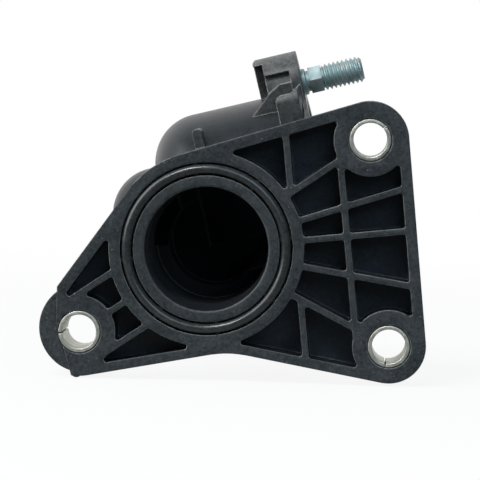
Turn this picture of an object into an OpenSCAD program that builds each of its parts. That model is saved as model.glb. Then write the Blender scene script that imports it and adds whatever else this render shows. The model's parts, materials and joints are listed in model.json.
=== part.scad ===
// Coolant thermostat housing in black glass-filled nylon.
// A ribbed three-bolt flange carries the engine port and its face seal. Behind it lies a domed
// chamber whose axis crosses the port axis and ends in a side outlet flange with two studs.
// The origin is on the port axis at the flange face, +Y runs into the housing and +Z is up.

/* [Port] */
// Radius of the engine port
port_r = 13.65; // [12:0.05:15]
// Length of the full round port, from the flange face
port_length = 14; // [11:0.5:14.5]
// Bevel at the mouth of the port
port_bevel = 0.4; // [0.2:0.1:0.6]
// Flat land between the port and the seal groove
inner_land = 2.55; // [2:0.05:3]
// Width of the seal groove
groove_w = 2.9; // [2.5:0.05:3.2]
// Depth of the seal groove
groove_depth = 3.2; // [2.4:0.1:4]
// Flat land outside the seal groove
outer_land = 2.5; // [2:0.05:3]

/* [Seal] */
// Gap on each side of the seal's bead
seal_side_gap = 0.4; // [0.3:0.05:0.6]
// Height of the bead above the flange face
seal_proud = 0.7; // [0.3:0.1:1]
// Number of holding nubs on each side of the bead
nub_count = 8; // [4:1:12]
// Angle of the first pair of nubs
nub_start = 9; // [0:1:45]
// Gap between a nub and the groove wall
nub_gap = 0.05; // [0.02:0.01:0.1]

/* [Engine flange] */
// Thickness of the flange
flange_t = 10; // [8:0.5:12]
// Thickness of the floor under the pockets
floor_t = 2; // [1.5:0.1:3]
// Left bolt, across from the port axis
left_x = -27.7; // [-31:0.05:-27]
// Left bolt, up from the port axis
left_z = -19.05; // [-22:0.05:-18]
// Upper bolt, across from the port axis
upper_x = 35.5; // [34:0.05:39]
// Upper bolt, up from the port axis
upper_z = 24.9; // [23:0.05:27]
// Lower bolt, across from the port axis
lower_x = 40.75; // [38:0.05:44]
// Lower bolt, up from the port axis
lower_z = -20.45; // [-23:0.05:-19]
// Outer radius of the left lobe
left_lobe_r = 9.85; // [9.2:0.05:11]
// Outer radius of the upper lobe
upper_lobe_r = 8.55; // [7.5:0.05:10]
// Outer radius of the lower lobe
lower_lobe_r = 8.2; // [7.2:0.05:10]
// Top of the notch in the bottom edge, across from the port axis
notch_x = 5.4; // [0:0.1:10]
// Top of the notch in the bottom edge, below the rim of the port
notch_drop = 1; // [0.6:0.05:2]
// Fillet radius at the top of the notch
notch_r = 25; // [10:1:35]
// Width of the rim along the top and sides
rim_w = 2.45; // [1.8:0.05:3]
// Width of the rim along the bottom edge
foot_rim_w = 2.15; // [1.5:0.05:3]
// Width of the ribs
rib_w = 1.4; // [1:0.05:2]
// Radius of the solid boss round each bolt
boss_r = 8.05; // [7.5:0.05:9]
// Corner radius of the pockets
pocket_corner_r = 0.6; // [0.4:0.1:1]
// Angle of the upper rib that runs from the port to the right rim
fan_high = 18.4; // [15:0.1:24]
// Angle of the middle rib that runs from the port to the right rim
fan_mid = 6.6; // [0:0.1:10]
// Angle of the lower rib that runs from the port to the right rim
fan_low = -8.8; // [-16:0.1:-4]
// Long cross rib, measured from the line between the right bolts
long_rib_in = 7; // [6:0.1:7.4]
// Short cross ribs, measured from the line between the right bolts
short_rib_in = 18.4; // [16:0.1:20]
// Side ribs of the left arm, measured from its middle rib
arm_rib_off = 7; // [5:0.1:7.4]
// Radius of the stepped-back edge of the left lobe
relief_r = 10; // [9:0.05:10.05]
// Centre of the stepped-back edge, across from the left bolt
relief_across = 0.95; // [0.5:0.05:1.2]
// Centre of the stepped-back edge, up from the left bolt
relief_up = 0.8; // [0.4:0.05:1]
// Depth of the step on the left lobe
relief_depth = 1.5; // [0.5:0.1:3]
// Plastic left between the step and the left sleeve
relief_land = 0.5; // [0.4:0.05:1]
// Lean of the lower part of the step line
relief_lean = 17; // [0:1:25]
// Radius of the gate nub under the left lobe
gate_r = 1.3; // [0.8:0.1:2]
// Gate nub, across from the left bolt
gate_x = -0.4; // [-1:0.1:1]
// Height of the gate nub below the lobe
gate_proud = 0.3; // [0.1:0.05:0.6]

/* [Bolt sleeves] */
// Outer radius of the rolled steel sleeves
sleeve_r = 4.6; // [4.3:0.05:5.2]
// Inner radius of the sleeves
sleeve_bore_r = 3.75; // [3.2:0.05:4]
// Length of the sleeves, through the flange and the bosses behind it
sleeve_length = 14; // [12:0.5:14]
// Radius of the bosses behind the flange
back_boss_r = 7.2; // [6.5:0.1:7.6]
// Width of the groove round the front of each sleeve
ring_w = 0.25; // [0.15:0.05:0.3]
// Depth of the groove round the front of each sleeve
ring_depth = 0.5; // [0.3:0.1:1]
// Width of the seam where each sleeve is rolled shut
seam_w = 0.3; // [0.2:0.05:0.5]
// Angle of the left sleeve's seam
left_seam = 185; // [0:1:360]
// Angle of the upper sleeve's seam
upper_seam = 41; // [0:1:360]
// Angle of the lower sleeve's seam
lower_seam = 260; // [0:1:360]
// Gap drawn between a pressed-in metal piece and the plastic
press_gap = 0.02; // [0.01:0.01:0.05]

/* [Chamber] */
// Rise of the outlet axis from level
outlet_rise = 14.5; // [8:0.5:18]
// Outer radius of the chamber
chamber_r = 20.5; // [18.5:0.05:21]
// Wall of the chamber
chamber_wall = 3; // [2.4:0.1:3.4]
// Gap between the flange's back and the chamber
chamber_gap = 1.5; // [1:0.05:3]
// Chamber axis above the port axis
chamber_lift = 9; // [7:0.1:10]
// Closed end of the chamber, behind the port axis
chamber_end = 9.1; // [8.5:0.1:12]
// Corner radius of the closed end
end_corner_r = 11; // [8:0.1:11.5]
// Radius of the dome on the closed end
dome_r = 10.7; // [9:0.1:11]
// Centre of the dome behind the closed end
dome_out = 1.7; // [0.5:0.1:2]
// Inner step of the chamber, behind the port axis
inner_step = 1.8; // [0.5:0.1:3]
// Ledge between the port and the passage behind it
passage_ledge = 0.4; // [0.2:0.1:1]
// Depth of the step in the passage behind the port, from the flange face
passage_step = 34; // [30:0.5:36]
// Depth of the passage behind the port, from the flange face
passage_end = 46; // [42:0.5:47]
// Radius of the narrow end of the passage
passage_r = 10.4; // [9:0.1:11]
// Thickness of the web between the flange and the chamber
web_t = 2.2; // [1.8:0.1:3.5]
// Middle of the web along the outlet axis
web_along = 3.2; // [1:0.1:6]
// Top of the web above the port axis
web_top = 26.2; // [24:0.1:27]

/* [Outlet flange] */
// Outlet face from the port axis, along the outlet axis
outlet_reach = 28.4; // [27:0.1:32]
// Thickness of the raised rim at the outlet's face
plate_t = 0.8; // [0.6:0.1:1.2]
// Thickness of the collar behind the rim
collar_t = 5.9; // [5:0.1:7]
// Rim outside the chamber's wall
plate_lip = 1; // [0.8:0.05:2]
// Collar outside the chamber's wall
collar_lip = 0.5; // [0.4:0.05:0.75]
// Radius of the seat at the outlet's mouth
seat_r = 17.9; // [17.6:0.05:18.2]
// Depth of the seat at the outlet's mouth, to the foot of its sloping floor
seat_depth = 8; // [5:0.5:9]
// Shoulder top above the chamber axis, at the collar
shoulder_up = 20.1; // [19:0.1:21]
// Rise of the shoulder's top toward the outlet's face
shoulder_rise = 1.9; // [0.6:0.1:2.4]
// Length of that rise along the outlet axis
shoulder_ramp = 3.2; // [2:0.1:4]
// Rounding of the shoulder's top where it starts behind the face
hood_r = 1.2; // [0.6:0.1:2]
// Shoulder front from the chamber axis
shoulder_out = 17; // [15:0.1:18]
// Corner radius of the shoulder
shoulder_corner_r = 4; // [2:0.5:6]
// Front edge of the shoulder, back from the outlet's face
shoulder_set = 1.5; // [1:0.1:2.5]
// Lean of the shoulder's side toward the outlet's face
shoulder_lean = 11; // [5:1:20]
// Radius of the stud ears
ear_r = 7.4; // [6.5:0.1:8]
// Length of the stud ears along the outlet axis
ear_length = 10.2; // [9:0.1:12]
// Bevel round the back of the ears
ear_bevel = 0.6; // [0.3:0.1:1]
// Width of the slot cut into the end of each ear
slot_w = 2.1; // [1:0.1:2.5]
// Wall left over the slot
slot_cap = 1.5; // [1:0.1:2.5]
// Wall left behind the slot
slot_back = 6; // [4:0.1:7]
// Top of the ear's side panel above the stud axis
panel_up = 3.2; // [2.5:0.1:5]
// Depth of the ear's side panel at its top
panel_depth = 2.2; // [1.9:0.1:2.8]
// Depth of the side panel where its slope ends, beside the stud axis
panel_foot = 1.2; // [0.8:0.1:1.5]
// Rim between the side panel and the outlet face
panel_rim = 2.4; // [1:0.1:3]
// Thickness of the gusset in front of the panel
gusset_t = 1.8; // [1.2:0.1:2.4]
// Level top of the gusset above the stud axis
gusset_up = 0.7; // [0:0.1:1.5]
// Foot of the gusset from the outlet face
gusset_foot = 12.9; // [11:0.1:15]
// Start of the gusset's level top, from the outlet face
gusset_bend = 5; // [4:0.1:6]
// Bend of the gusset's slope, from the outlet face
gusset_knee = 7.7; // [6.5:0.1:9]
// Bend of the gusset's slope, below its level top
knee_drop = 1.4; // [0.8:0.1:2]
// Step of the gusset's side behind the ear's side
gusset_step = 0.1; // [0.05:0.05:0.4]

/* [Studs] */
// Stud axis above the chamber axis
stud_up = 22; // [21.5:0.1:23]
// Stud axis to the port side of the chamber axis
stud_fore = 4.4; // [3:0.1:6]
// Radius of the thread's crest
stud_r = 3; // [2.5:0.05:3.2]
// Length of the root held in the ear
stud_root = 6.8; // [5:0.1:7]
// Length of the round collar at the face
stud_collar = 1; // [0.6:0.1:1.5]
// Length of the neck behind the hexagon
stud_neck = 0.7; // [0.4:0.1:1]
// Depth of the neck below the hexagon's flats
neck_depth = 0.3; // [0.1:0.05:0.6]
// Length of the hexagon
hex_length = 2.9; // [2:0.1:4]
// Width of the hexagon across its flats
hex_flats = 5.9; // [5:0.1:6.5]
// Length of the undercut between the hexagon and the thread
undercut = 0.3; // [0.2:0.05:0.5]
// Length of the threaded end
thread_length = 9.2; // [7:0.1:12]
// Bevel at the tip of the thread
tip_bevel = 0.8; // [0.4:0.1:1]

/* [Hidden] */
// Steps round a full circle, and round the small corners of the pockets
round_steps = 96;
corner_steps = 24;
$fn = round_steps;

// Overlap between shapes that are joined, and overshoot of cuts
lap = 0.5;
// Depth by which straight edges and fillets sink into the rounds they meet
snug = 0.01;
// Longer than any rib or cut across the flange
far = 60;

port = [0, 0];
left_bolt = [left_x, left_z];
upper_bolt = [upper_x, upper_z];
lower_bolt = [lower_x, lower_z];
bolts = [left_bolt, upper_bolt, lower_bolt];

groove_in_r = port_r + inner_land;
groove_out_r = groove_in_r + groove_w;
rim_r = groove_out_r + outer_land;
notch = [notch_x, -rim_r - notch_drop];

seal_in_r = groove_in_r + seal_side_gap;
seal_out_r = groove_out_r - seal_side_gap;
bead_r = (seal_out_r - seal_in_r) / 2;
nub_r = bead_r / 2;
nub_reach = seal_side_gap - nub_gap;

bolt_line = (lower_bolt - upper_bolt) / norm(lower_bolt - upper_bolt);
toward_port = [bolt_line.y, -bolt_line.x];
arm_side = [-left_bolt.y, left_bolt.x] / norm(left_bolt);
relief_x = left_x - sleeve_r - relief_land;
relief_centre = left_bolt + [relief_across, relief_up];
relief_knee = [relief_x, left_z + sleeve_bore_r / 2];

chamber_y = flange_t + chamber_gap + chamber_r;
chamber_in_r = chamber_r - chamber_wall;
plate_r = chamber_r + plate_lip;
collar_r = chamber_r + collar_lip;
plate_back = outlet_reach - plate_t;
collar_back = plate_back - collar_t;
dome_at = -chamber_end - dome_out;
seat_bottom = outlet_reach - seat_depth;
passage_in_r = port_r - passage_ledge;

ear_back = outlet_reach - ear_length;
ear_front = -stud_fore - ear_r;
// Foot of the ears, inside the chamber's wall
ear_foot = chamber_r / 2;
hex_at = outlet_reach + stud_collar + stud_neck;
thread_at = hex_at + hex_length + undercut;

// Outward direction of the line that touches two circles, going anticlockwise
function touch(p, pr, q, qr) =
    let (way = q - p, turn = atan2(way.y, way.x) - 90 + asin((pr - qr) / norm(way)))
    [cos(turn), sin(turn)];

// Extrudes a shape drawn in the flange's face between two depths
module face_slice(from, to) {
    translate([0, to, 0]) rotate([90, 0, 0]) linear_extrude(to - from) children();
}

// Turns a shape drawn along +Z so that it runs into the housing along +Y
module inward() {
    rotate([-90, 0, 0]) children();
}

// Places children on the outlet axis: X along it, Y into the housing, Z across it
module outlet_axis() {
    rotate([0, -outlet_rise, 0]) translate([0, chamber_y, chamber_lift]) children();
}

// Turns a shape drawn along +Z so that it runs along the outlet axis
module along() {
    rotate([0, 90, 0]) children();
}

// Extrudes a shape drawn across the outlet axis between two places along it
module outlet_slice(from, to) {
    translate([from, 0, 0]) rotate([90, 0, 90]) linear_extrude(to - from) children();
}

// Flat bar of the rib width from one point to another
module bar(p, q) {
    way = q - p;
    translate(p) rotate(atan2(way.y, way.x)) translate([0, -rib_w / 2]) square([norm(way), rib_w]);
}

// Outline through the lobes and the port rim, with its rims drawn in by a width
module lobed_outline(rim = 0, foot = 0) {
    left_r = left_lobe_r - rim;
    upper_r = upper_lobe_r - rim;
    lower_r = lower_lobe_r - rim;
    ring_r = rim_r - rim;
    peak = notch + [0, foot];
    right = touch(lower_bolt, lower_r, upper_bolt, upper_r);
    top = touch(upper_bolt, upper_r, port, ring_r);
    side = touch(port, ring_r, left_bolt, left_r);
    foot_left = touch(left_bolt, left_r + rim - foot, peak, 0);
    foot_right = touch(peak, 0, lower_bolt, lower_r + rim - foot);
    translate(left_bolt) circle(left_r);
    translate(upper_bolt) circle(upper_r);
    translate(lower_bolt) circle(lower_r);
    circle(ring_r);
    polygon([
        lower_bolt,
        lower_bolt + (lower_r - snug) * right,
        upper_bolt + (upper_r - snug) * right,
        upper_bolt + (upper_r - snug) * top,
        (ring_r - snug) * top,
        (ring_r - snug) * side,
        left_bolt + (left_r - snug) * side,
        left_bolt,
        left_bolt + (left_r + rim - foot - snug) * foot_left,
        peak,
        lower_bolt + (lower_r + rim - foot - snug) * foot_right
    ]);
}

// Fillet that fills the top of the notch in the bottom edge
module notch_fillet() {
    a = touch(left_bolt, left_lobe_r, notch, 0);
    b = touch(notch, 0, lower_bolt, lower_lobe_r);
    half = acos(a * b) / 2;
    mid = (a + b) / norm(a + b);
    centre = notch + mid * notch_r / cos(half);
    difference() {
        polygon([notch - mid * lap, centre - a * notch_r, centre, centre - b * notch_r]);
        translate(centre) circle(notch_r + snug);
    }
}

// Front outline of the flange, with the left lobe cut along the step line
module flange_outline() {
    difference() {
        union() {
            lobed_outline();
            notch_fillet();
            translate(left_bolt + [gate_x, gate_r - gate_proud - left_lobe_r]) circle(gate_r);
        }
        translate([relief_x - far, left_z - far]) square([far, far + left_lobe_r]);
        translate(relief_knee) rotate(relief_lean) translate([-far, -far]) square(far);
    }
}

// Ribs of the pocketed field
module ribs() {
    for (fan = [fan_high, fan_mid, fan_low]) bar(port, far * [cos(fan), sin(fan)]);
    for (bolt = bolts) bar(port, bolt);
    for (off = [-arm_rib_off, arm_rib_off]) bar(off * arm_side, left_bolt + off * arm_side);
    bar(upper_bolt + long_rib_in * toward_port, lower_bolt + long_rib_in * toward_port);
    difference() {
        bar(
            upper_bolt + short_rib_in * toward_port - far * bolt_line,
            lower_bolt + short_rib_in * toward_port + far * bolt_line
        );
        polygon([port, upper_bolt, lower_bolt]);
    }
}

// Fields between the rims, the bosses and the ribs, with sharp corners
module pocket_fields() {
    $fn = round_steps;
    difference() {
        lobed_outline(rim_w, foot_rim_w);
        circle(rim_r);
        for (bolt = bolts) translate(bolt) circle(boss_r);
        ribs();
    }
}

// Pockets between the ribs, with rounded corners
module pockets() {
    offset(r = pocket_corner_r, $fn = corner_steps) offset(delta = -pocket_corner_r) pocket_fields();
}

// Outer shape of the chamber, drawn as a profile round the outlet axis
module chamber_profile() {
    straight_from = end_corner_r - chamber_end;
    translate([0, straight_from]) square([chamber_r, plate_back + lap - straight_from]);
    translate([0, -chamber_end]) square([chamber_r - end_corner_r, end_corner_r + lap]);
    translate([chamber_r - end_corner_r, straight_from]) circle(end_corner_r);
}

// Outline of the shoulder across the outlet axis, with its round corner
module shoulder_outline() {
    top = shoulder_up + shoulder_rise;
    difference() {
        translate([-shoulder_out, 0]) square([shoulder_out, top]);
        translate([-shoulder_out - lap, top - shoulder_corner_r]) square(shoulder_corner_r + lap);
    }
    translate([shoulder_corner_r - shoulder_out, top - shoulder_corner_r]) circle(shoulder_corner_r);
}

// Shoulder that carries the collar down past the ear, with a hooded top and a leaning side
module shoulder() {
    difference() {
        intersection() {
            outlet_slice(collar_back, outlet_reach - lap) shoulder_outline();
            rotate([90, 0, 0]) linear_extrude(shoulder_out + lap)
                polygon([
                    [collar_back - lap, -lap],
                    [collar_back - lap, shoulder_up - hood_r - 2 * lap],
                    [collar_back + hood_r / 3, shoulder_up - hood_r / 3],
                    [collar_back + hood_r, shoulder_up],
                    [outlet_reach - shoulder_ramp, shoulder_up],
                    [outlet_reach, shoulder_up + shoulder_rise],
                    [outlet_reach, -lap]
                ]);
        }
        translate([outlet_reach - shoulder_set, -shoulder_out, 0]) rotate(-shoulder_lean)
            translate([0, -far / 2, -lap]) cube(far);
    }
}

// One ear of the outlet flange, with its core-outs and gusset
module outlet_ear() {
    difference() {
        union() {
            translate([ear_back, -stud_fore, stud_up]) along() rotate_extrude()
                polygon([
                    [0, 0],
                    [ear_r - ear_bevel, 0],
                    [ear_r, ear_bevel],
                    [ear_r, ear_length],
                    [0, ear_length]
                ]);
            translate([ear_back, ear_front, ear_foot]) cube([ear_length, 2 * ear_r, stud_up - ear_foot]);
        }
        translate([ear_back - lap, ear_front - lap, ear_foot - lap])
            cube([slot_w + lap, 2 * ear_r - slot_back + lap, stud_up + ear_r - slot_cap - ear_foot + lap]);
        outlet_slice(ear_back - lap, outlet_reach - panel_rim)
            polygon([
                [ear_front - lap, ear_foot - lap],
                [ear_front - lap, stud_up + panel_up],
                [ear_front + panel_depth, stud_up + panel_up],
                [ear_front + panel_foot, stud_up],
                [ear_front + panel_foot, ear_foot - lap]
            ]);
    }
    level = stud_up + gusset_up;
    foot_z = sqrt(chamber_r * chamber_r - ear_front * ear_front);
    translate([0, ear_front + gusset_step + gusset_t, 0]) rotate([90, 0, 0]) linear_extrude(gusset_t)
        polygon([
            [outlet_reach - gusset_foot, foot_z - lap],
            [outlet_reach - gusset_foot, foot_z],
            [outlet_reach - gusset_knee, level - knee_drop],
            [outlet_reach - gusset_bend, level],
            [outlet_reach - lap, level],
            [outlet_reach - lap, foot_z - lap]
        ]);
}

// Outlet flange with its collar, rim, shoulders and two ears
module outlet_flange() {
    outlet_slice(collar_back, outlet_reach - lap) circle(collar_r);
    outlet_slice(plate_back, outlet_reach) circle(plate_r);
    for (half_turn = [0, 180]) rotate([half_turn, 0, 0]) {
        shoulder();
        outlet_ear();
    }
}

// Thin web that ties the flange's back to the chamber
module flange_web() {
    top = web_top - chamber_lift;
    front = -chamber_r - chamber_gap - lap;
    translate([web_along - web_t / 2, front, 0]) cube([web_t, -front, top - web_t / 2]);
    translate([web_along, front, top - web_t / 2]) inward() cylinder(d = web_t, h = -front);
}

// Everything that is solid in the moulding, before its holes
module housing_solid() {
    face_slice(0, flange_t) flange_outline();
    face_slice(relief_depth, flange_t) translate(relief_centre) circle(relief_r);
    for (bolt = bolts) face_slice(flange_t - lap, sleeve_length) translate(bolt) circle(back_boss_r);
    inward() cylinder(r = port_r + chamber_wall, h = passage_step + chamber_wall);
    inward() cylinder(r = passage_r + chamber_wall, h = passage_end + chamber_wall);
    outlet_axis() {
        along() rotate_extrude() intersection() {
            chamber_profile();
            translate([0, -far]) square([far, 2 * far]);
        }
        translate([dome_at, 0, 0]) sphere(dome_r);
        outlet_flange();
        flange_web();
    }
}

// Port, groove, passage and chamber, as cuts
module housing_holes() {
    face_slice(-lap, flange_t - floor_t) pockets();
    for (bolt = bolts) translate([bolt.x, -lap, bolt.y]) inward() {
        cylinder(r = sleeve_r + press_gap, h = sleeve_length + 2 * lap);
        cylinder(r = sleeve_r + ring_w, h = ring_depth + lap);
    }
    inward() cylinder(r = port_r, h = port_length);
    translate([0, -lap, 0]) inward()
        cylinder(r1 = port_r + port_bevel + lap, r2 = port_r, h = port_bevel + lap);
    inward() cylinder(r = passage_in_r, h = passage_step);
    inward() cylinder(r = passage_r, h = passage_end);
    translate([0, -lap, 0]) inward() difference() {
        cylinder(r = groove_out_r, h = groove_depth + lap);
        translate([0, 0, -lap]) cylinder(r = groove_in_r, h = groove_depth + 3 * lap);
    }
    outlet_axis() {
        translate([-inner_step, 0, 0]) along() cylinder(r = chamber_in_r, h = outlet_reach);
        translate([chamber_wall - chamber_end, 0, 0]) along()
            cylinder(r = chamber_r - end_corner_r + chamber_wall, h = chamber_end);
        translate([dome_at, 0, 0]) sphere(dome_r - chamber_wall);
        along() rotate_extrude()
            polygon([
                [0, seat_bottom - lap],
                [chamber_in_r - lap, seat_bottom - lap],
                [seat_r, seat_bottom + seat_r - chamber_in_r],
                [seat_r, outlet_reach + lap],
                [0, outlet_reach + lap]
            ]);
        for (half_turn = [0, 180]) rotate([half_turn, 0, 0])
            translate([outlet_reach - stud_root, -stud_fore, stud_up]) along()
                cylinder(r = stud_r + press_gap, h = stud_root + lap);
    }
}

// Moulded housing
module housing() {
    color([0.16, 0.17, 0.18]) difference() {
        housing_solid();
        housing_holes();
    }
}

// Rolled steel sleeve in a bolt hole
module sleeve(bolt, seam) {
    color([0.78, 0.78, 0.76]) translate([bolt.x, 0, bolt.y]) inward() difference() {
        cylinder(r = sleeve_r, h = sleeve_length);
        translate([0, 0, -lap]) cylinder(r = sleeve_bore_r, h = sleeve_length + 2 * lap);
        rotate(-seam) translate([0, -seam_w / 2, -lap]) cube([2 * sleeve_r, seam_w, sleeve_length + 2 * lap]);
    }
}

// Rubber face seal with its holding nubs
module port_seal() {
    color([0.06, 0.06, 0.065]) inward() {
        rotate_extrude() {
            translate([seal_in_r, bead_r - seal_proud])
                square([2 * bead_r, groove_depth + seal_proud - bead_r]);
            translate([seal_in_r + bead_r, bead_r - seal_proud]) circle(bead_r);
        }
        for (i = [0:nub_count - 1]) rotate(-nub_start - i * 360 / nub_count)
            for (x = [seal_in_r - nub_reach + nub_r, seal_out_r + nub_reach - nub_r])
                translate([x, 0, nub_r]) cylinder(r = nub_r, h = groove_depth - nub_r);
    }
}

// Steel stud with a hexagon, drawn along the outlet axis from the ear's hole
module stud(half_turn) {
    color([0.66, 0.72, 0.72]) outlet_axis() rotate([half_turn, 0, 0]) translate([0, -stud_fore, stud_up]) {
        translate([outlet_reach - stud_root, 0, 0]) along() cylinder(r = stud_r, h = stud_root + stud_collar);
        translate([outlet_reach, 0, 0]) along()
            cylinder(r = hex_flats / 2 - neck_depth, h = thread_at + lap - outlet_reach);
        translate([hex_at, 0, 0]) along() rotate(30)
            cylinder(d = hex_flats / cos(30), h = hex_length, $fn = 6);
        translate([thread_at, 0, 0]) along() rotate_extrude()
            polygon([
                [0, 0],
                [stud_r, 0],
                [stud_r, thread_length - tip_bevel],
                [stud_r - tip_bevel, thread_length],
                [0, thread_length]
            ]);
    }
}

housing();
sleeve(left_bolt, left_seam);  // sleeve_left
sleeve(upper_bolt, upper_seam);  // sleeve_upper
sleeve(lower_bolt, lower_seam);  // sleeve_lower
port_seal();
stud(0);  // stud_upper
stud(180);  // stud_lower
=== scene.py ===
import json
import math

import bmesh
import bpy
from bpy.props import FloatProperty, FloatVectorProperty, IntProperty, PointerProperty
from mathutils import Matrix, Vector


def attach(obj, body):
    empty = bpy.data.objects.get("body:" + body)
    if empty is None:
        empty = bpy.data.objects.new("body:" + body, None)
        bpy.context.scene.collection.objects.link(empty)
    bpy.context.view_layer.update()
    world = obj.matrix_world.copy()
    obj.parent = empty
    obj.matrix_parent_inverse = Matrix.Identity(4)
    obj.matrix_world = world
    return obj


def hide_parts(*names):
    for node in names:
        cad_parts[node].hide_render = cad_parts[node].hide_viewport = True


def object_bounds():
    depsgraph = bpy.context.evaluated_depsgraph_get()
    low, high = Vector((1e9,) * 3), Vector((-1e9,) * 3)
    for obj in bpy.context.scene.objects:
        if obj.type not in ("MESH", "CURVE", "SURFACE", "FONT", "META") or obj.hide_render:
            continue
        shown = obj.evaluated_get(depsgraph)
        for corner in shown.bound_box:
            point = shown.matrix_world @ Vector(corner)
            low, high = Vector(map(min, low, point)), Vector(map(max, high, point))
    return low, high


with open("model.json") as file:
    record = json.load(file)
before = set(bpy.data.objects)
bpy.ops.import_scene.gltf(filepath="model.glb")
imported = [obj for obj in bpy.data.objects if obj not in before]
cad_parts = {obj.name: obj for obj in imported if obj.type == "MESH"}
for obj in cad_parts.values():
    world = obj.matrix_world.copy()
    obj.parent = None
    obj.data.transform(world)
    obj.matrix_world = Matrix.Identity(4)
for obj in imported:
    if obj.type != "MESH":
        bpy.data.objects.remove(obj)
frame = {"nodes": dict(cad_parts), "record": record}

bl_info = {
    "name": "Coolant Housing",
    "version": (1, 0, 0),
    "blender": (4, 5, 0),
    "location": "3D View > Sidebar > Housing",
    "description": "Finishes a moulded coolant housing with its seal, sleeves and studs, and lights it",
    "category": "Object",
}

ROOT = "root"
CAD_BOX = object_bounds()
MOUNTS = {mount["name"]: mount for mount in frame["record"]["mounts"]}

# Distances in metres within which corners count as one, or as lying on a cut.
MERGE_GAP = 1e-6
CUT_GAP = 1e-7

# Angles within which faces count as one flat face, or are shaded as one smooth skin.
FLAT_ANGLE = math.radians(0.2)
MOULDING_SMOOTH = math.radians(28)
SEAL_SMOOTH = math.radians(40)
SLEEVE_SMOOTH = math.radians(35)
STUD_SMOOTH = math.radians(32)

# Rounded edges: faces across the round, the room that a round needs as a multiple of its size, the
# share of that room below which an edge is too short, and the angle of a sleeve's cut edges.
MOULDING_SEGMENTS = 4
SLEEVE_SEGMENTS = 3
ROUND_ROOM = 2.2
SHORT_EDGE = 0.25
SLEEVE_CUT_ANGLE = math.radians(45)

# Turned studs: faces round a bar, turns of thread cut off at each end, how much a blank is larger
# than what is left of it, and lengths in metres.
BAR_FACES = 72
CORE_FACES = 64
SPARE_TURNS = 2
BLANK_OVERSIZE = 0.006
TURNING_OVERSIZE = 0.004
HEX_BEVEL = 0.0006
COLLAR_BEVEL = 0.0002
LAP = 0.0002

# Scuffs and painted highlights along the moulding's edges: how far they reach in metres, and samples of
# the search.
EDGE_REACH = 0.0004
EDGE_SAMPLES = 6

# Studio: tones of the paper floor, how far it comes forward of the part, and the nearest point that
# the camera shows, in metres.
WHITE = (1, 1, 1)
PAPER_DARK = (0.12, 0.12, 0.12)
PAPER_PALE = (0.9, 0.9, 0.9)
FLOOR_LEAD = 0.3
CLIP_START = 0.01


def mount_size(mount, size):
    """Size of a mount in metres."""
    return MOUNTS[mount]["dims"][f"{size}_mm"] / 1000


def length(name, description, default):
    """Size in metres that the sidebar shows with its unit."""
    return FloatProperty(
        name=name, description=description, default=default, precision=5, unit="LENGTH"
    )


def degrees(name, description, default):
    """Angle whose default is given in degrees."""
    return FloatProperty(
        name=name, description=description, default=math.radians(default), subtype="ANGLE"
    )


def power(name, description, default):
    """Power of a lamp in watts."""
    return FloatProperty(name=name, description=description, default=default, unit="POWER")


def share(name, description, default):
    """Number between nothing and all."""
    return FloatProperty(
        name=name, description=description, default=default, min=0.0, max=1.0, subtype="FACTOR"
    )


def colour(name, description, default):
    """Linear colour."""
    return FloatVectorProperty(
        name=name,
        description=description,
        default=default,
        size=3,
        min=0.0,
        max=1.0,
        subtype="COLOR",
    )


def point(name, description, default):
    """Place in metres."""
    return FloatVectorProperty(
        name=name,
        description=description,
        default=default,
        size=3,
        subtype="TRANSLATION",
        unit="LENGTH",
    )


class HousingMoulding(bpy.types.PropertyGroup):
    """Black glass-filled nylon of the housing."""

    edge_round: length("Edge Round", "Rounding of the moulding's edges", 0.00022)
    edge_angle: degrees("Edge Angle", "Sharpest edge that stays unrounded", 38)
    dark: colour("Dark", "Resin between the clouds of filler", (0.006, 0.009, 0.012))
    pale: colour("Pale", "Resin where the filler comes to the skin", (0.015, 0.020, 0.024))
    # Painted shade: a near-black skin put inside the port in place of the shade deep in the bore.
    shaded_bore: colour("Bore", "Untouched skin inside the port", (0.003, 0.006, 0.011))
    # Painted cool light: pocket floors paler and bluer than the skin, in place of cool light falling
    # into the pockets.
    pocket_cool_light_dark: colour(
        "Floor Dark", "Floor of the pockets between the clouds of filler", (0.017, 0.027, 0.041)
    )
    pocket_cool_light_pale: colour(
        "Floor Pale", "Floor of the pockets where the filler comes to the skin", (0.036, 0.050, 0.069)
    )
    land_dark: colour(
        "Land Dark", "Rubbed face between the clouds of filler", (0.014, 0.019, 0.023)
    )
    land_pale: colour(
        "Land Pale", "Rubbed face where the filler comes to the skin", (0.056, 0.065, 0.071)
    )
    # Matt skin outside the chamber, paler than the chamber's skin, with painted top light: mixed in
    # more the more a face looks up.
    matt_top_light_dark: colour(
        "Matt Dark",
        "Matt skin outside the chamber between the clouds of filler",
        (0.06, 0.063, 0.062),
    )
    matt_top_light_pale: colour(
        "Matt Pale",
        "Matt skin outside the chamber where the filler comes to the skin",
        (0.165, 0.17, 0.166),
    )
    # Scuff colours, paler on the matt skin, that also paint highlights along the edges and glints at
    # deep edges in the bore.
    scuff_and_highlight: colour("Scuff", "Rubbed resin along the edges", (0.28, 0.29, 0.285))
    matt_scuff_and_highlight: colour(
        "Matt Scuff", "Rubbed resin along the edges of the matt skin", (0.50, 0.51, 0.50)
    )
    roughness: share("Roughness", "Roughness of the moulded skin", 0.33)
    land_depth: length(
        "Land Depth", "How far behind the flange's face its rubbed lands reach", 0.0035
    )
    flange_depth: length("Flange Depth", "Thickness of the flange", 0.010)
    chamber_r: length(
        "Chamber Radius", "Radius of the chamber's smooth skin round the outlet axis", 0.0205
    )


class HousingSeal(bpy.types.PropertyGroup):
    """Rubber face seal."""

    rubber: colour("Rubber", "Clean rubber", (0.028, 0.032, 0.034))
    bloom: colour("Bloom", "Dusty bloom on the rubber", (0.10, 0.107, 0.11))
    roughness: share("Roughness", "Roughness of the rubber", 0.28)


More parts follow.
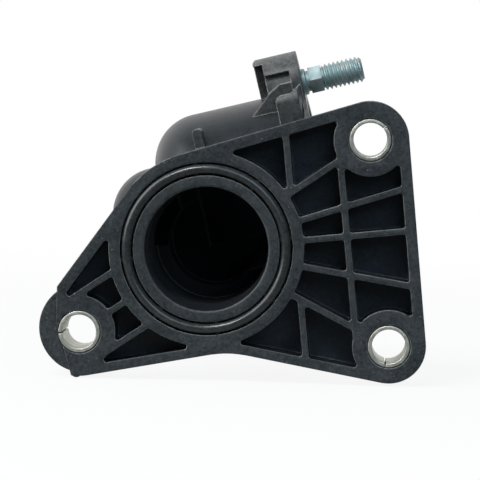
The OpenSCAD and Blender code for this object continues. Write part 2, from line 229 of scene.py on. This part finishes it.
class HousingSleeves(bpy.types.PropertyGroup):
    """Rolled steel sleeves in the bolt holes."""

    edge_round: length("Edge Round", "Rounding of the cut edges", 0.00018)
    bright: colour("Bright", "Bright plated steel", (0.80, 0.79, 0.71))
    dull: colour("Dull", "Dull plated steel", (0.52, 0.52, 0.46))
    roughness: share("Roughness", "Roughness of the plating", 0.48)


class HousingStuds(bpy.types.PropertyGroup):
    """Zinc-plated studs of the outlet flange."""

    crest: length(
        "Crest Radius", "Radius at the thread's crest", mount_size("stud_upper_thread", "r")
    )
    pitch: length("Pitch", "Pitch of the thread", 0.001)
    depth: length("Thread Depth", "Depth of the thread", 0.00056)
    tip_bevel: length("Tip Bevel", "Bevel at the tip of the thread", 0.0008)
    undercut: length("Undercut", "Length of the undercut behind the thread", 0.0003)
    hex_length: length("Hexagon Length", "Length of the hexagon", 0.0029)
    hex_flats: length("Hexagon Flats", "Width of the hexagon across its flats", 0.0059)
    neck: length("Neck", "Length of the neck behind the hexagon", 0.0007)
    neck_depth: length("Neck Depth", "Depth of the neck below the hexagon's flats", 0.0003)
    collar: length("Collar", "Length of the round collar at the outlet face", 0.001)
    root: length("Root", "Length of the root that the ear holds", 0.0068)
    steps: IntProperty(
        name="Steps", description="Faces round one turn of the thread", default=56, min=16
    )
    zinc: colour("Zinc", "Clear zinc plating", (0.54, 0.59, 0.58))
    passivate: colour("Passivate", "Blue-green film on the zinc", (0.38, 0.53, 0.55))
    roughness: share("Roughness", "Roughness of the plating", 0.6)


class HousingStudio(bpy.types.PropertyGroup):
    """Camera, lamps and floor."""

    camera_place: point("Camera Place", "Where the camera stands", (0.03424, -0.65, 0.03801))
    camera_aim: point("Camera Aim", "Point at the middle of the picture", (0.00742, 0.0, 0.00218))
    camera_roll: degrees("Camera Roll", "Lean of the picture's up", 1.4)
    lens: FloatProperty(
        name="Lens", description="Focal length in millimetres", default=222.0, min=10.0
    )
    key_watts: power("Key Lamp", "Power of the lamp on the left", 5.0)
    fill_watts: power("Fill Lamp", "Power of the cool lamp in front", 1.6)
    spark_watts: power("Spark Lamp", "Power of the small lamp above the camera on the left", 3.0)
    bright_side: FloatVectorProperty(
        name="Bright Side",
        description="Direction of the white backdrop",
        default=(-0.35, 0.95, 0.08),
        size=3,
    )
    ambient: share("Ambient", "Share of the backdrop's light that falls on dull surfaces", 0.6)
    dim_side: share("Dim Side", "Brightness of the room behind the camera", 0.05)
    cool: colour("Cool", "Colour of the dim room and the lamp in front", (0.7, 0.89, 1.0))
    floor_gap: length("Floor Gap", "Gap between the lobes and the floor", 0.0001)
    floor_side: length("Floor Side", "Side of the floor", 6.0)


class Wire:
    """Output of a node on which Python's operators add Math nodes."""

    def __init__(self, recipe, socket):
        self.recipe = recipe
        self.socket = socket

    def math(self, operation, first, second):
        """Math node on two values."""
        return self.recipe.add("ShaderNodeMath", {"operation": operation}, {0: first, 1: second})

    def __add__(self, other):
        return self.math("ADD", self, other)

    __radd__ = __add__

    def __sub__(self, other):
        return self.math("SUBTRACT", self, other)

    def __rsub__(self, other):
        return self.math("SUBTRACT", other, self)

    def __mul__(self, other):
        return self.math("MULTIPLY", self, other)

    __rmul__ = __mul__

    def held(self, lowest=0.0, highest=1.0):
        """Value stretched from a range to nothing and all, and held there."""
        return self.recipe.add(
            "ShaderNodeMapRange",
            {"clamp": True},
            {"Value": self, "From Min": lowest, "From Max": highest},
        )

    def at_least(self, lowest):
        """Value between nothing and all squeezed into the range above a lowest value."""
        return lowest + (1 - lowest) * self


class Recipe:
    """Node tree of a material or of the world."""

    def __init__(self, owner):
        owner.use_nodes = True
        self.owner = owner
        self.tree = owner.node_tree
        self.tree.nodes.clear()

    def add(self, kind, settings=None, sockets=None, output=0):
        """Node of a kind with its settings, then the values or links of its sockets."""
        node = self.tree.nodes.new(kind)
        for setting, value in (settings or {}).items():
            setattr(node, setting, value)
        for socket, value in (sockets or {}).items():
            if isinstance(value, Wire):
                self.tree.links.new(value.socket, node.inputs[socket])
            else:
                node.inputs[socket].default_value = value
        return Wire(self, node.outputs[output]) if node.outputs else None

    def place(self):
        """Place on the object."""
        return self.add("ShaderNodeTexCoord", output="Object")

    def vector(self, operation, *vectors, output="Vector"):
        """Vector Math node."""
        return self.add(
            "ShaderNodeVectorMath", {"operation": operation}, dict(enumerate(vectors)), output
        )

    def dot(self, first, second):
        """Dot product of two directions."""
        return self.vector("DOT_PRODUCT", first, second, output="Value")

    def reach(self, vector):
        """Length of a vector."""
        return self.vector("LENGTH", vector, output="Value")

    def along(self, vector, axis):
        """One coordinate of a vector."""
        return self.add("ShaderNodeSeparateXYZ", None, {"Vector": vector}, axis)

    def distance(self, place, mount):
        """Distance of a place from a mount's axis."""
        apart = self.vector("SUBTRACT", place, mount["pos_m"])
        return self.reach(self.vector("CROSS_PRODUCT", apart, mount["axis"]))

    def noise(self, place, scale, detail=2.0, roughness=0.5, distortion=0.0):
        """Soft random value."""
        return self.add(
            "ShaderNodeTexNoise",
            None,
            {
                "Vector": place,
                "Scale": scale,
                "Detail": detail,
                "Roughness": roughness,
                "Distortion": distortion,
            },
        )

    def bump(self, height, strength, distance, **sockets):
        """Normal tilted by a height."""
        return self.add(
            "ShaderNodeBump",
            None,
            {"Strength": strength, "Distance": distance, "Height": height, **sockets},
        )

    def blend(self, factor, first, second):
        """Colour between two colours."""
        return self.add(
            "ShaderNodeMix",
            {"data_type": "RGBA"},
            {"Factor": factor, 6: solid(first), 7: solid(second)},
            output=2,
        )

    def finish(self, **sockets):
        """Surface from a Principled shader, whose sockets are named with low lines for spaces."""
        named = {name.replace("_", " "): value for name, value in sockets.items()}
        shader = self.add("ShaderNodeBsdfPrincipled", None, named)
        self.add("ShaderNodeOutputMaterial", None, {"Surface": shader})
        return self.owner


def solid(value):
    """Colour with its alpha, or a wire as it is."""
    return value if isinstance(value, Wire) else (*value, 1.0)


def moulding_material(finish):
    """Black glass-filled nylon: cloudy filler, rubbed lands, edges rubbed and given painted highlights,
    pocket floors with painted cool light, a matt skin outside the chamber with painted top light,
    and painted shade in the bore with painted glints at its deep edges."""
    recipe = Recipe(bpy.data.materials.new("moulding"))
    place = recipe.place()
    clouds = recipe.noise(place, scale=260, detail=4, roughness=0.62, distortion=0.5)
    mottle = recipe.noise(place, scale=1300, detail=5, roughness=0.8, distortion=0.6)
    grain = recipe.noise(place, scale=4200, detail=2, roughness=0.6)
    specks = recipe.noise(place, scale=2100, detail=1).held(0.735, 0.76)
    filler = (clouds * 0.25 + mottle * 0.75).held(0.42, 0.59)

    # Where a point lies: which way its face looks, how deep it is and how far from the axes.
    flat = recipe.add("ShaderNodeNewGeometry", output="Normal")
    ahead = recipe.dot(flat, (0, -1, 0))
    top_light_mask = recipe.along(flat, "Z").held(0.1, 0.7)
    facing = ahead.held(0.5, 0.9)
    depth = recipe.along(place, "Y")
    below = depth.held(finish.land_depth, 1.1 * finish.land_depth)
    behind = depth.held(0.85 * finish.flange_depth, 0.9 * finish.flange_depth)
    beyond = depth.held(1.8 * finish.flange_depth, 2 * finish.flange_depth)
    port_r = mount_size("port", "r")
    from_port = recipe.distance(place, MOUNTS["port"])
    from_outlet = recipe.distance(place, MOUNTS["outlet"])

    # Regions of the finish.
    land = facing * (1 - below)
    pocket = facing * below * (1 - behind)
    matt = from_outlet.held(finish.chamber_r, 1.01 * finish.chamber_r) * behind
    within = 1 - from_port.held(port_r, 1.02 * port_r)
    # Where the bore's painted shade goes: inside the port's radius, deeper than its mouth.
    shaded_bore = within * depth.held(0.001, 0.002) * ahead.held(-0.3, -0.1)

    # Rubbed edges with painted highlights.
    rounded = recipe.add("ShaderNodeBevel", {"samples": EDGE_SAMPLES}, {"Radius": EDGE_REACH})
    corner = (1 - recipe.dot(rounded, flat)).held(0.02, 0.16)
    slanted = ahead.held(0.1, 0.4) * (1 - ahead.held(0.7, 0.95))
    rim = slanted * (1 - depth.held(finish.edge_round, 2 * finish.edge_round))
    mouth = from_port.held(1.05 * port_r, 1.1 * port_r)
    # Mask for scuffs and painted highlights: rounded edges, stronger on the matt skin, and rims at the
    # flange's face away from the port.
    edge_scuff_and_highlight_mask = (corner * matt.at_least(0.5) + rim * mouth.at_least(0.35)).held()
    edge = edge_scuff_and_highlight_mask * mottle.held(0.32, 0.52)

    skin = recipe.blend(filler, finish.dark, finish.pale)
    # Pocket floors with painted cool light.
    pocket_cool_light = recipe.blend(filler, finish.pocket_cool_light_dark, finish.pocket_cool_light_pale)
    lands = recipe.blend(filler, finish.land_dark, finish.land_pale)
    matt_and_top_light = recipe.blend(filler, finish.matt_top_light_dark, finish.matt_top_light_pale)
    edge_scuff_and_highlight = recipe.blend(matt, finish.scuff_and_highlight, finish.matt_scuff_and_highlight)
    # Painted shade in the bore, with painted glints in the scuff colour at its deep edges.
    inside = recipe.blend(corner * beyond, finish.shaded_bore, finish.scuff_and_highlight)
    base = recipe.blend(land, recipe.blend(pocket, skin, pocket_cool_light), lands)
    # Matt skin with painted top light: paler the more a face looks up.
    base = recipe.blend(matt * top_light_mask.at_least(0.35), base, matt_and_top_light)
    # Scuffs with painted highlights along the edges, and random pale flecks on the lands.
    base = recipe.blend((edge + land * specks).held(), base, edge_scuff_and_highlight)
    return recipe.finish(
        Base_Color=recipe.blend(shaded_bore, base, inside),
        Roughness=finish.roughness
        + (mottle - 0.5) * 0.3
        + (clouds - 0.5) * 0.16
        + land * 0.22
        + matt * 0.1
        + shaded_bore * 0.4,
        IOR=1.5,
        Normal=recipe.bump(grain * 0.6 + mottle, strength=0.35, distance=0.00006, Normal=rounded),
    )


def rubber_material(finish):
    """Satin rubber with a light dusty bloom."""
    recipe = Recipe(bpy.data.materials.new("seal_rubber"))
    place = recipe.place()
    dust = recipe.noise(place, scale=900, detail=4, roughness=0.65)
    grain = recipe.noise(place, scale=6500, detail=2, roughness=0.5)
    return recipe.finish(
        Base_Color=recipe.blend(dust.held(0.48, 0.78) * 0.35, finish.rubber, finish.bloom),
        Roughness=finish.roughness + (dust - 0.5) * 0.3,
        IOR=1.7,
        Normal=recipe.bump(grain, strength=0.1, distance=0.00004),
    )


def sleeve_material(finish):
    """Pale plated steel with fine turning marks."""
    recipe = Recipe(bpy.data.materials.new("sleeve_steel"))
    place = recipe.place()
    patches = recipe.noise(place, scale=420, detail=4, roughness=0.6, distortion=0.5)
    long_way = recipe.add("ShaderNodeMapping", None, {"Vector": place, "Scale": (6000, 500, 6000)})
    marks = recipe.noise(long_way, scale=1.0, detail=3, roughness=0.6)
    return recipe.finish(
        Base_Color=recipe.blend(patches.held(0.36, 0.64), finish.bright, finish.dull),
        Metallic=1.0,
        Roughness=finish.roughness + (marks - 0.5) * 0.3,
        Normal=recipe.bump(marks, strength=0.18, distance=0.00005),
    )


def zinc_material(finish):
    """Zinc plating with a blue-green film."""
    recipe = Recipe(bpy.data.materials.new("stud_zinc"))
    place = recipe.place()
    film = recipe.noise(place, scale=380, detail=4, roughness=0.6, distortion=0.6)
    specks = recipe.noise(place, scale=3200, detail=3, roughness=0.6)
    return recipe.finish(
        Base_Color=recipe.blend(film.held(0.38, 0.62), finish.zinc, finish.passivate),
        Metallic=0.85,
        Roughness=finish.roughness + (specks - 0.5) * 0.3,
        Normal=recipe.bump(specks, strength=0.15, distance=0.00004),
    )


def select_only(*pieces):
    """Select these objects alone, with the first one active."""
    bpy.ops.object.select_all(action="DESELECT")
    for piece in pieces:
        piece.select_set(True)
    bpy.context.view_layer.objects.active = pieces[0]


def edit_all(piece):
    """Enter edit mode on a piece with all of it selected."""
    select_only(piece)
    bpy.ops.object.mode_set(mode="EDIT")
    bpy.ops.mesh.select_mode(type="VERT")
    bpy.ops.mesh.select_all(action="SELECT")


def end_edit():
    """Leave edit mode."""
    bpy.ops.object.mode_set(mode="OBJECT")


def applied(piece, kind, **settings):
    """Add a modifier to a piece and apply it."""
    select_only(piece)
    modifier = piece.modifiers.new(kind, kind)
    for setting, value in settings.items():
        setattr(modifier, setting, value)
    bpy.ops.object.modifier_apply(modifier=modifier.name)


def smooth(piece, angle):
    """Smooth shading that keeps edges sharper than an angle."""
    select_only(piece)
    bpy.ops.object.shade_smooth_by_angle(angle=angle)


def node_copy(node, name):
    """Copy of a CAD node's mesh as a piece, with its loose triangles merged and flat faces joined."""
    piece = bpy.data.objects.new(name, frame["nodes"][node].data.copy())
    bpy.context.scene.collection.objects.link(piece)
    edit_all(piece)
    bpy.ops.mesh.remove_doubles(threshold=MERGE_GAP)
    bpy.ops.mesh.customdata_custom_splitnormals_clear()
    bpy.ops.mesh.dissolve_limited(angle_limit=FLAT_ANGLE)
    end_edit()
    return piece


def sharp_edges(piece, angle, room):
    """Numbers of a piece's sharp outer edges, apart from those at strips too narrow for a round."""
    shape = bmesh.new()
    shape.from_mesh(piece.data)
    sharp = {edge for edge in shape.edges if edge.calc_face_angle() > angle}
    tight = set()
    for face in shape.faces:
        rims = [loop for loop in face.loops if loop.edge in sharp]
        for rim in rims:
            start, end = rim.vert.co, rim.link_loop_next.vert.co
            middle = (start + end) / 2
            along = (end - start).normalized()
            inward = face.normal.cross(along)
            if (end - start).length < SHORT_EDGE * room:
                tight |= {*rim.edge.verts}
            for other in rims:
                ends = (other.vert.co - middle, other.link_loop_next.vert.co - middle)
                across = ends[0].dot(along) * ends[1].dot(along) <= 0
                if across and MERGE_GAP < min(corner.dot(inward) for corner in ends) < room:
                    tight |= {*rim.edge.verts, *other.edge.verts}
    roomy = {edge.index for edge in sharp if edge.is_convex and tight.isdisjoint(edge.verts)}
    shape.free()
    return roomy


def edit_edges(piece, chosen):
    """Enter edit mode on a piece with only the edges of these numbers selected."""
    edit_all(piece)
    bpy.ops.mesh.select_mode(type="EDGE")
    bpy.ops.mesh.select_all(action="DESELECT")
    end_edit()
    for edge in piece.data.edges:
        edge.select = edge.index in chosen
    bpy.ops.object.mode_set(mode="EDIT")


def settle(piece, material, slot, *nodes):
    """Give a piece its finish and body, and let it stand for its nodes, which it hides; the slot is not
    used.
    """
    piece.data.materials.clear()
    piece.data.materials.append(material)
    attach(piece, ROOT)
    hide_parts(*nodes)


class HOUSING_OT_moulding(bpy.types.Operator):
    """Round the housing's edges and give it its moulded finish"""

    bl_idname = "housing.moulding"
    bl_label = "Moulding"

    def execute(self, context):
        finish = context.scene.housing_moulding
        piece = node_copy("housing", "housing_moulded")
        edit_edges(piece, sharp_edges(piece, finish.edge_angle, ROUND_ROOM * finish.edge_round))
        bpy.ops.mesh.bevel(
            offset=finish.edge_round,
            segments=MOULDING_SEGMENTS,
            affect="EDGES",
            clamp_overlap=False,
            loop_slide=False,
        )
        end_edit()
        smooth(piece, MOULDING_SMOOTH)
        settle(piece, moulding_material(finish), "moulding", "housing")
        return {"FINISHED"}


class HOUSING_OT_seal(bpy.types.Operator):
    """Give the face seal its rubber"""

    bl_idname = "housing.seal"
    bl_label = "Seal"

    def execute(self, context):
        finish = context.scene.housing_seal
        piece = node_copy("port_seal", "port_seal_rubber")
        smooth(piece, SEAL_SMOOTH)
        settle(piece, rubber_material(finish), "seal_rubber", "port_seal")
        return {"FINISHED"}


class HOUSING_OT_sleeves(bpy.types.Operator):
    """Round the cut edges of the rolled sleeves and plate them"""

    bl_idname = "housing.sleeves"
    bl_label = "Sleeves"

    def execute(self, context):
        finish = context.scene.housing_sleeves
        steel = sleeve_material(finish)
        for side in ("left", "upper", "lower"):
            piece = node_copy(f"sleeve_{side}", f"sleeve_{side}_rolled")
            applied(
                piece,
                "BEVEL",
                width=finish.edge_round,
                segments=SLEEVE_SEGMENTS,
                limit_method="ANGLE",
                angle_limit=SLEEVE_CUT_ANGLE,
            )
            smooth(piece, SLEEVE_SMOOTH)
            settle(piece, steel, "sleeve_steel", f"sleeve_{side}")
        return {"FINISHED"}


def turned_bar(name, radius, low, high, faces=BAR_FACES, bevel=0.0, both_ends=False):
    """Round or many-sided bar along Z, with a bevel at its upper end or at both ends."""
    middle = (low + high) / 2
    bpy.ops.object.select_all(action="DESELECT")
    bpy.ops.mesh.primitive_cylinder_add(
        vertices=faces, radius=radius, depth=high - low, location=(0, 0, middle)
    )
    bar = bpy.context.object
    bar.name = name
    bpy.ops.object.transform_apply(location=True, rotation=True, scale=True)
    if bevel:
        rims = set()
        for edge in bar.data.edges:
            heights = [bar.data.vertices[corner].co.z for corner in edge.vertices]
            level = abs(heights[0] - heights[1]) < MERGE_GAP
            if level and (both_ends or heights[0] > middle):
                rims.add(edge.index)
        edit_edges(bar, rims)
        bpy.ops.mesh.bevel(offset=bevel, segments=2 if both_ends else 1, affect="EDGES")
        end_edit()
    return bar


def joined(piece, other, operation):
    """Boolean of a piece with another, which is used up."""
    applied(piece, "BOOLEAN", object=other, operation=operation, solver="EXACT")
    bpy.data.objects.remove(other)


def cut_thread(sizes, low, high):
    """Bar along Z with a right-hand thread cut into it."""
    root_r = sizes.crest - sizes.depth
    flat = sizes.pitch / 8
    flank = (sizes.pitch - 3 * flat) / 2
    bpy.ops.object.select_all(action="DESELECT")
    bpy.ops.mesh.primitive_plane_add(size=sizes.pitch)
    thread = bpy.context.object
    thread.name = "thread"
    edit_all(thread)
    bpy.ops.mesh.merge(type="CENTER")
    bpy.ops.transform.translate(value=(root_r, 0, low - SPARE_TURNS * sizes.pitch))
    rise, top = (sizes.depth, 0, flank), (0, 0, flat)
    fall, bottom = (-sizes.depth, 0, flank), (0, 0, 2 * flat)
    for step in (rise, top, fall, bottom):
        bpy.ops.mesh.extrude_region_move(TRANSFORM_OT_translate={"value": step})
    end_edit()
    applied(
        thread,
        "SCREW",
        axis="Z",
        screw_offset=sizes.pitch,
        iterations=math.ceil((high - low) / sizes.pitch) + 2 * SPARE_TURNS,
        steps=sizes.steps,
        render_steps=sizes.steps,
        use_merge_vertices=True,
        merge_threshold=MERGE_GAP,
        use_smooth_shade=False,
    )
    for height, keep_above in ((low, True), (high, False)):
        edit_all(thread)
        bpy.ops.mesh.bisect(
            plane_co=(0, 0, height),
            plane_no=(0, 0, 1),
            use_fill=True,
            clear_inner=keep_above,
            clear_outer=not keep_above,
            threshold=CUT_GAP,
        )
        end_edit()
    edit_all(thread)
    bpy.ops.mesh.remove_doubles(threshold=MERGE_GAP)
    bpy.ops.mesh.normals_make_consistent(inside=False)
    end_edit()
    blank_r = sizes.crest * (1 + BLANK_OVERSIZE)
    tip_bevel = sizes.tip_bevel + BLANK_OVERSIZE * sizes.crest
    blank = turned_bar("blank", blank_r, low - sizes.pitch, high, bevel=tip_bevel)
    joined(thread, blank, "INTERSECT")
    return thread


def turn_stud(sizes):
    """Stud along Z with the middle of its straight thread at the origin."""
    thread_low = -mount_size("stud_upper_thread", "length") / 2
    thread_high = -thread_low + sizes.tip_bevel
    hex_high = thread_low - sizes.undercut
    hex_low = hex_high - sizes.hex_length
    collar_high = hex_low - sizes.neck
    collar_low = collar_high - sizes.collar - sizes.root
    core_r = sizes.hex_flats / 2 - sizes.neck_depth - sizes.depth / 2
    hex_r = sizes.hex_flats / math.sqrt(3)
    turning_r = hex_r * (1 + TURNING_OVERSIZE)
    stud = cut_thread(sizes, thread_low, thread_high)
    core = turned_bar("core", core_r, collar_high - LAP, thread_low + LAP, faces=CORE_FACES)
    joined(stud, core, "UNION")
    hexagon = turned_bar("hexagon", hex_r, hex_low, hex_high, faces=6)
    turning = turned_bar(
        "turning", turning_r, hex_low - LAP, hex_high + LAP, bevel=HEX_BEVEL, both_ends=True
    )
    joined(hexagon, turning, "INTERSECT")
    joined(stud, hexagon, "UNION")
    collar = turned_bar("collar", sizes.crest, collar_low, collar_high, bevel=COLLAR_BEVEL)
    joined(stud, collar, "UNION")
    smooth(stud, STUD_SMOOTH)
    return stud


class HOUSING_OT_studs(bpy.types.Operator):
    """Turn the threaded studs and plate them"""

    bl_idname = "housing.studs"
    bl_label = "Studs"

    def execute(self, context):
        sizes = context.scene.housing_studs
        zinc = zinc_material(sizes)
        pattern = turn_stud(sizes)
        for side in ("upper", "lower"):
            mount = MOUNTS[f"stud_{side}_thread"]
            ahead = Vector(mount["axis"]).normalized()
            deep = Vector((0, 1, 0))
            turn = Matrix((deep.cross(ahead), deep, ahead)).transposed().to_4x4()
            piece = bpy.data.objects.new(f"stud_{side}_plated", pattern.data.copy())
            context.scene.collection.objects.link(piece)
            piece.data.transform(Matrix.Translation(mount["pos_m"]) @ turn)
            settle(piece, zinc, "stud_zinc", f"stud_{side}")
        bpy.data.objects.remove(pattern)
        return {"FINISHED"}


def place_camera(scene, studio):
    """Camera that looks from its place to its aim, with the picture's up leaning by the roll."""
    place = Vector(studio.camera_place)
    ahead = (Vector(studio.camera_aim) - place).normalized()
    lean = Vector((-math.sin(studio.camera_roll), 0, math.cos(studio.camera_roll)))
    across = ahead.cross(lean).normalized()
    turn = Matrix((across, across.cross(ahead), -ahead)).transposed()
    bpy.ops.object.camera_add(location=place, rotation=turn.to_euler())
    camera = bpy.context.object
    camera.data.lens = studio.lens
    camera.data.clip_start = CLIP_START
    scene.camera = camera


def lamp(name, place, aim, side, watts, tint=WHITE):
    """Square soft lamp."""
    bpy.ops.object.light_add(type="AREA", location=place)
    light = bpy.context.object
    light.name = name
    light.data.shape = "SQUARE"
    light.data.size = side
    light.data.energy = watts
    light.data.color = tint
    light.rotation_euler = (Vector(aim) - Vector(place)).to_track_quat("-Z", "Y").to_euler()


def ray_kinds(recipe):
    """Whether a ray comes from the camera, and whether it comes off gloss or through glass."""
    seen, gloss, glass = (
        recipe.add("ShaderNodeLightPath", output=f"Is {kind} Ray")
        for kind in ("Camera", "Glossy", "Transmission")
    )
    return seen, (gloss + glass).held()


def light_room(scene, studio):
    """World that the camera sees as white and that lights the part from its bright side."""
    world = bpy.data.worlds.new("studio")
    scene.world = world
    recipe = Recipe(world)
    seen, mirrored = ray_kinds(recipe)
    facing = recipe.dot(recipe.add("ShaderNodeTexCoord", output="Generated"), studio.bright_side)
    white = facing.held(-0.3, 0.7) * mirrored.at_least(studio.ambient)
    level = seen + (1 - seen) * white.at_least(studio.dim_side)
    tint = recipe.blend((seen + white).held(), studio.cool, WHITE)
    sky = recipe.add("ShaderNodeBackground", None, {"Color": tint, "Strength": level})
    recipe.add("ShaderNodeOutputWorld", None, {"Surface": sky})


def lay_floor(studio):
    """Pale paper that keeps the part's shadow, and that is dark in front to light bounced off it."""
    bpy.ops.mesh.primitive_plane_add(
        size=studio.floor_side,
        location=(0, studio.floor_side / 2 - FLOOR_LEAD, CAD_BOX[0][2] - studio.floor_gap),
    )
    floor = bpy.context.object
    floor.name = "floor"
    recipe = Recipe(bpy.data.materials.new("floor_paper"))
    place = recipe.add("ShaderNodeNewGeometry", output="Position")
    behind = recipe.along(place, "Y").held(-0.05, 0.1)
    away = recipe.reach(place).held(0.1, 0.5)
    seen, mirrored = ray_kinds(recipe)
    pale = recipe.blend((behind + seen).held(), PAPER_DARK, PAPER_PALE)
    paper = recipe.add(
        "ShaderNodeBsdfPrincipled",
        None,
        {"Base Color": pale, "Roughness": 1.0, "Specular IOR Level": 0.0},
    )
    glow = recipe.add("ShaderNodeEmission", None, {"Color": solid(WHITE), "Strength": 1.0})
    white = seen * away.at_least(0.9) + mirrored * behind * 0.3
    mixed = recipe.add("ShaderNodeMixShader", None, {0: white, 1: paper, 2: glow})
    recipe.add("ShaderNodeOutputMaterial", None, {"Surface": mixed})
    floor.data.materials.append(recipe.owner)


class HOUSING_OT_studio(bpy.types.Operator):
    """Set up the camera, lamps, white backdrop and floor"""

    bl_idname = "housing.studio"
    bl_label = "Studio"

    def execute(self, context):
        studio = context.scene.housing_studio
        context.scene.view_settings.view_transform = "Standard"
        place_camera(context.scene, studio)
        lamp(
            "key_lamp",
            place=(-0.75, -0.3, 0.45),
            aim=(0, 0.02, 0),
            side=0.8,
            watts=studio.key_watts,
        )
        lamp(
            "fill_lamp",
            place=(0.3, -0.75, 0.45),
            aim=(0, 0.02, 0),
            side=0.5,
            watts=studio.fill_watts,
            tint=studio.cool,
        )
        lamp(
            "spark_lamp",
            place=(-0.22, -0.49, 0.64),
            aim=(0, 0, 0),
            side=0.22,
            watts=studio.spark_watts,
        )
        light_room(context.scene, studio)
        lay_floor(studio)
        return {"FINISHED"}


GROUPS = {
    "housing_moulding": HousingMoulding,
    "housing_seal": HousingSeal,
    "housing_sleeves": HousingSleeves,
    "housing_studs": HousingStuds,
    "housing_studio": HousingStudio,
}
OPERATORS = (
    HOUSING_OT_moulding,
    HOUSING_OT_seal,
    HOUSING_OT_sleeves,
    HOUSING_OT_studs,
    HOUSING_OT_studio,
)


class HOUSING_PT_sidebar(bpy.types.Panel):
    """Sizes, colours and steps of the coolant housing"""

    bl_idname = "HOUSING_PT_sidebar"
    bl_label = "Coolant Housing"
    bl_space_type = "VIEW_3D"
    bl_region_type = "UI"
    bl_category = "Housing"

    def draw(self, context):
        for (group, properties), operator in zip(GROUPS.items(), OPERATORS):
            box = self.layout.box()
            box.operator(operator.bl_idname)
            for name in properties.__annotations__:
                box.prop(getattr(context.scene, group), name)


CLASSES = (*GROUPS.values(), *OPERATORS, HOUSING_PT_sidebar)


def register():
    for item in CLASSES:
        bpy.utils.register_class(item)
    for group, properties in GROUPS.items():
        setattr(bpy.types.Scene, group, PointerProperty(type=properties))


def unregister():
    for group in GROUPS:
        delattr(bpy.types.Scene, group)
    for item in reversed(CLASSES):
        bpy.utils.unregister_class(item)


def main():
    register()
    bpy.ops.housing.moulding()
    bpy.ops.housing.seal()
    bpy.ops.housing.sleeves()
    bpy.ops.housing.studs()
    bpy.ops.housing.studio()


if __name__ == "__main__":
    main()
